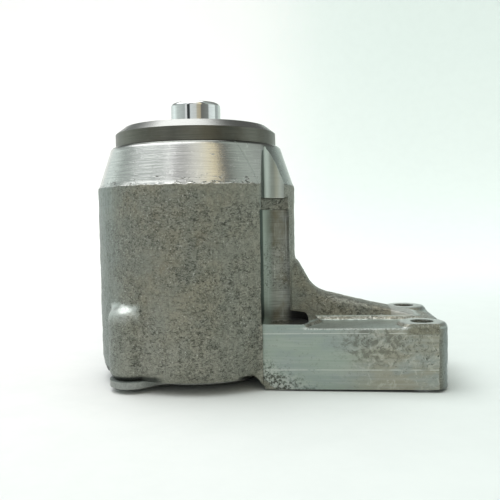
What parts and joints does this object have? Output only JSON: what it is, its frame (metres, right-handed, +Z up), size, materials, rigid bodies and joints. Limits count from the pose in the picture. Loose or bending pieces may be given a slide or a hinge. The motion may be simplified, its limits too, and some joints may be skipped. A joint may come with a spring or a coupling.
{
  "type": "fan bracket",
  "caption": "Cast-iron fan bracket: an upright bearing housing on a ribbed bolted foot, with a turning fan hub and centring pilot on a shaft in sealed ball bearings.",
  "frame": {"origin": "centre of the four foot bolts, in the mounting plane under the foot", "axes": "+Z up along the fan shaft, away from the mounting plane; +X from the barrel towards the far end of the foot; -Y is the milled side"},
  "size_m": [0.1676, 0.0999, 0.1363],
  "materials": {
    "cast_iron": "as-cast skin with a fine grain; nose, bolt access and one side machined bright",
    "turned_steel": "finely turned",
    "ground_steel": "ground and polished",
    "sheet_steel": "plain rolled sheet",
    "dark_steel": "blackened",
    "bearing_steel": "ground",
    "spring_steel": "tempered",
    "cage_polymer": "moulded",
    "seal_rubber": "moulded",
    "gasket_sheet": "pressed fibre sheet"
  },
  "bodies": {
    "housing": {"housing": "cast_iron", "rear_cover": "sheet_steel", "cover_gasket": "gasket_sheet", "cover_screws": "dark_steel", "rear_outer_ring": "bearing_steel", "front_outer_ring": "bearing_steel", "rear_shields": "sheet_steel", "front_shields": "sheet_steel", "outer_spacer": "turned_steel", "wave_spring": "spring_steel", "snap_ring": "spring_steel", "seal_case": "sheet_steel", "seal_lip": "seal_rubber", "seal_spring": "spring_steel"},
    "rotor": {"shaft": "ground_steel", "fan_hub": "turned_steel", "rear_inner_ring": "bearing_steel", "front_inner_ring": "bearing_steel", "inner_spacer": "turned_steel", "lock_nut": "dark_steel", "tab_washer": "sheet_steel"},
    "rear_ball_set": {"rear_balls": "bearing_steel", "rear_cage": "cage_polymer"},
    "front_ball_set": {"front_balls": "bearing_steel", "front_cage": "cage_polymer"}
  },
  "joints": [
    {"name": "fan_spin", "type": "hinge", "parent": "housing", "child": "rotor", "pos_m": [-0.075, 0, 0], "axis": [0, 0, 1], "continuous": true},
    {"name": "rear_ball_orbit", "type": "hinge", "parent": "housing", "child": "rear_ball_set", "pos_m": [-0.075, 0, 0], "axis": [0, 0, 1], "continuous": true},
    {"name": "front_ball_orbit", "type": "hinge", "parent": "housing", "child": "front_ball_set", "pos_m": [-0.075, 0, 0], "axis": [0, 0, 1], "continuous": true}
  ],
  "couplings": [
    {"joint": "rear_ball_orbit", "follows": "fan_spin", "ratio": 0.3794},
    {"joint": "front_ball_orbit", "follows": "fan_spin", "ratio": 0.3794}
  ]
}
